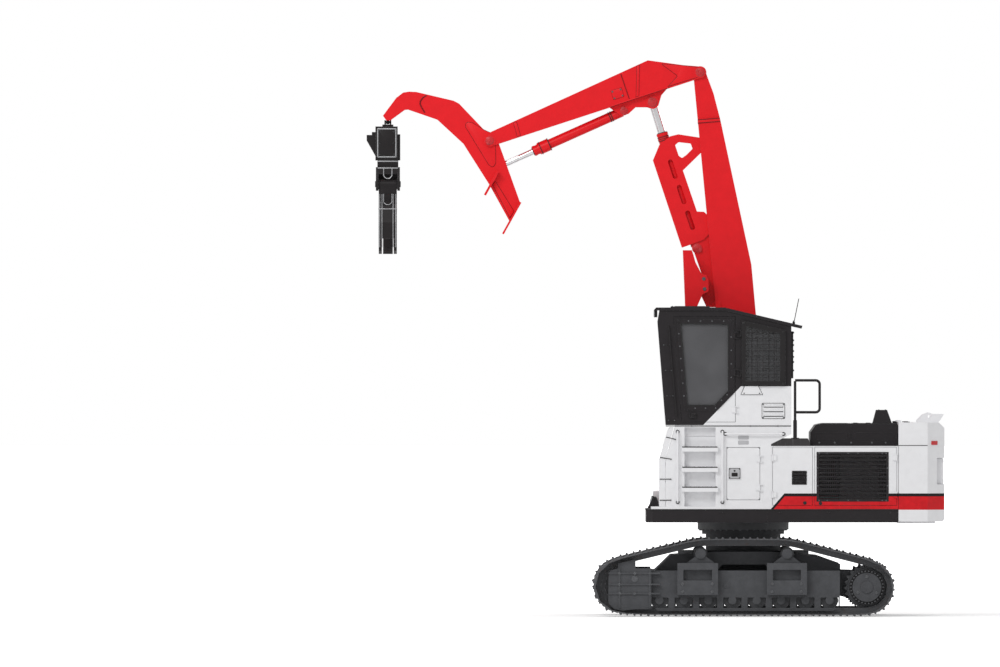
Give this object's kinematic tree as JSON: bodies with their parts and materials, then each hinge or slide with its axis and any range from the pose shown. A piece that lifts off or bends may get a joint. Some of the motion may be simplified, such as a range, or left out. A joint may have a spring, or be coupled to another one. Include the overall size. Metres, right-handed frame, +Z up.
{
  "type": "tracked log loader",
  "caption": "Tracked log loader on a high wide undercarriage, with a raised cab, knuckle boom, live heel and rotating bypass grapple.",
  "frame": {"origin": "bottom centre of the bounding box, on the ground", "axes": "+X towards the counterweight, -Y towards the cab side, +Z up; the boom, stick and grapple reach towards -X"},
  "size_m": [8.85, 3.5, 8.52],
  "materials": {
    "boom_paint": "gloss",
    "body_paint": "gloss",
    "dark_paint": "satin",
    "frame_paint": "satin",
    "black_steel": "satin",
    "track_steel": "worn",
    "chrome": "polished",
    "glass": "polished",
    "seat_fabric": "matte",
    "engine_grey": "matte"
  },
  "bodies": {
    "undercarriage": {"car_body": "frame_paint", "track_frame_left": "frame_paint", "track_frame_right": "frame_paint", "track_left": "track_steel", "track_right": "track_steel", "idlers": "track_steel", "sprockets": "track_steel", "final_drives": "frame_paint", "bottom_rollers": "track_steel", "carrier_rollers": "track_steel", "idler_guards": "frame_paint", "side_steps": "frame_paint"},
    "upper": {"deck_frame": "frame_paint", "deck_skirts": "dark_paint", "riser": "body_paint", "front_guard": "dark_paint", "ladder": "black_steel", "handrails": "black_steel", "cab_shell": "body_paint", "cab_roof": "body_paint", "cab_glass": "glass", "operator_seat": "seat_fabric", "rear_handrail": "black_steel", "antenna": "black_steel", "work_lamps": "black_steel", "engine_house": "body_paint", "walkway_cover": "dark_paint", "engine_block": "engine_grey", "counterweight": "body_paint", "lifting_brackets": "dark_paint", "fuel_tank": "body_paint", "hydraulic_tank": "body_paint", "tool_box": "body_paint"},
    "boom": {"boom": "boom_paint", "stick_cylinder_guard": "boom_paint", "hoist_guard": "boom_paint"},
    "hoist_barrels": {"hoist_barrels": "boom_paint"},
    "hoist_rods": {"hoist_rods": "chrome"},
    "stick": {"stick": "boom_paint"},
    "stick_barrel": {"stick_barrel": "boom_paint"},
    "stick_rod": {"stick_rod": "chrome"},
    "heel": {"heel": "boom_paint"},
    "heel_barrel": {"heel_barrel": "boom_paint"},
    "heel_rod": {"heel_rod": "chrome"},
    "grapple_link": {"grapple_link": "black_steel"},
    "grapple_hanger": {"grapple_hanger": "black_steel"},
    "grapple_head": {"grapple_head": "black_steel"},
    "grapple_arm_near": {"grapple_arm_near": "black_steel"},
    "grapple_arm_far": {"grapple_arm_far": "black_steel"},
    "cab_door": {"cab_door": "body_paint", "cab_door_glass": "glass"},
    "tool_door": {"tool_door": "body_paint"},
    "side_guard": {"side_guard": "black_steel"},
    "engine_door_front": {"engine_door_front": "body_paint"},
    "engine_door_rear": {"engine_door_rear": "body_paint"},
    "pump_door": {"pump_door": "body_paint"},
    "hood": {"hood": "dark_paint", "air_intake": "dark_paint"}
  },
  "joints": [
    {"name": "swing", "type": "hinge", "parent": "undercarriage", "child": "upper", "pos_m": [1.355, 0, 1.32], "axis": [0, 0, 1], "continuous": true},
    {"name": "boom_hinge", "type": "hinge", "parent": "upper", "child": "boom", "pos_m": [1.355, 0, 2.08], "axis": [0, 1, 0], "range_deg": [-68, 6]},
    {"name": "hoist_barrel_hinge", "type": "hinge", "parent": "upper", "child": "hoist_barrels", "pos_m": [0.595, 0, 1.96], "axis": [0, 1, 0], "range_deg": [-76, 7]},
    {"name": "hoist_rod_slide", "type": "slide", "parent": "hoist_barrels", "child": "hoist_rods", "axis": [0.0817, 0, 0.9967], "range_m": [-0.785, 0.08]},
    {"name": "stick_hinge", "type": "hinge", "parent": "boom", "child": "stick", "pos_m": [0.695, 0, 8.335], "axis": [0, -1, 0], "range_deg": [-60, 22]},
    {"name": "stick_barrel_hinge", "type": "hinge", "parent": "boom", "child": "stick_barrel", "pos_m": [0.65, 0, 5.635], "axis": [0, -1, 0], "range_deg": [-2, 3]},
    {"name": "stick_rod_slide", "type": "slide", "parent": "stick_barrel", "child": "stick_rod", "axis": [-0.2924, 0, 0.9563], "range_m": [-0.305, 0.825]},
    {"name": "heel_hinge", "type": "hinge", "parent": "stick", "child": "heel", "pos_m": [-2.535, 0, 7.285], "axis": [0, -1, 0], "range_deg": [-50, 45]},
    {"name": "heel_barrel_hinge", "type": "hinge", "parent": "stick", "child": "heel_barrel", "pos_m": [-0.475, 0, 7.745], "axis": [0, -1, 0], "range_deg": [-2, 2]},
    {"name": "heel_rod_slide", "type": "slide", "parent": "heel_barrel", "child": "heel_rod", "axis": [-0.9129, 0, -0.4081], "range_m": [-0.3, 0.33]},
    {"name": "grapple_swing", "type": "hinge", "parent": "heel", "child": "grapple_link", "pos_m": [-4.1, 0, 7.655], "axis": [0, 1, 0], "range_deg": [-40, 40]},
    {"name": "grapple_sway", "type": "hinge", "parent": "grapple_link", "child": "grapple_hanger", "pos_m": [-4.1, 0, 7.572], "axis": [1, 0, 0], "range_deg": [-25, 25]},
    {"name": "rotator", "type": "hinge", "parent": "grapple_hanger", "child": "grapple_head", "pos_m": [-4.1, 0, 7.505], "axis": [0, 0, 1], "continuous": true},
    {"name": "grapple_arm_hinge", "type": "hinge", "parent": "grapple_head", "child": "grapple_arm_near", "pos_m": [-4.1, -0.2, 6.62], "axis": [-1, 0, 0], "range_deg": [-20, 55]},
    {"name": "grapple_arm_far_hinge", "type": "hinge", "parent": "grapple_head", "child": "grapple_arm_far", "pos_m": [-4.1, 0.2, 6.62], "axis": [1, 0, 0], "range_deg": [-20, 55]},
    {"name": "cab_door_hinge", "type": "hinge", "parent": "upper", "child": "cab_door", "pos_m": [1.217, -1.466, 3.78], "axis": [0, 0, 1], "range_deg": [0, 90]},
    {"name": "tool_door_hinge", "type": "hinge", "parent": "upper", "child": "tool_door", "pos_m": [1.592, -1.466, 2.1825], "axis": [0, 0, 1], "range_deg": [0, 90]},
    {"name": "side_guard_hinge", "type": "hinge", "parent": "upper", "child": "side_guard", "pos_m": [1.306, -1.476, 4.025], "axis": [0, 0, -1], "range_deg": [0, 85]},
    {"name": "engine_door_front_hinge", "type": "hinge", "parent": "upper", "child": "engine_door_front", "pos_m": [1.798, -1.466, 2.1425], "axis": [0, 0, -1], "range_deg": [0, 95]},
    {"name": "engine_door_rear_hinge", "type": "hinge", "parent": "upper", "child": "engine_door_rear", "pos_m": [3.687, -1.466, 2.1425], "axis": [0, 0, 1], "range_deg": [0, 95]},
    {"name": "pump_door_hinge", "type": "hinge", "parent": "upper", "child": "pump_door", "pos_m": [3.687, 1.466, 2.1425], "axis": [0, 0, -1], "range_deg": [0, 95]},
    {"name": "hood_hinge", "type": "hinge", "parent": "upper", "child": "hood", "pos_m": [3.712, 0, 2.981], "axis": [0, 1, 0], "range_deg": [0, 60]}
  ],
  "couplings": [
    {"joint": "hoist_barrel_hinge", "follows": "boom_hinge", "ratio": 1.1},
    {"joint": "hoist_rod_slide", "follows": "boom_hinge", "m_per_rad": 0.656},
    {"joint": "stick_barrel_hinge", "follows": "stick_hinge", "ratio": -0.03},
    {"joint": "stick_rod_slide", "follows": "stick_hinge", "m_per_rad": -0.785},
    {"joint": "heel_barrel_hinge", "follows": "heel_hinge", "ratio": 0.03},
    {"joint": "heel_rod_slide", "follows": "heel_hinge", "m_per_rad": -0.3753},
    {"joint": "grapple_arm_far_hinge", "follows": "grapple_arm_hinge", "ratio": 1}
  ]
}
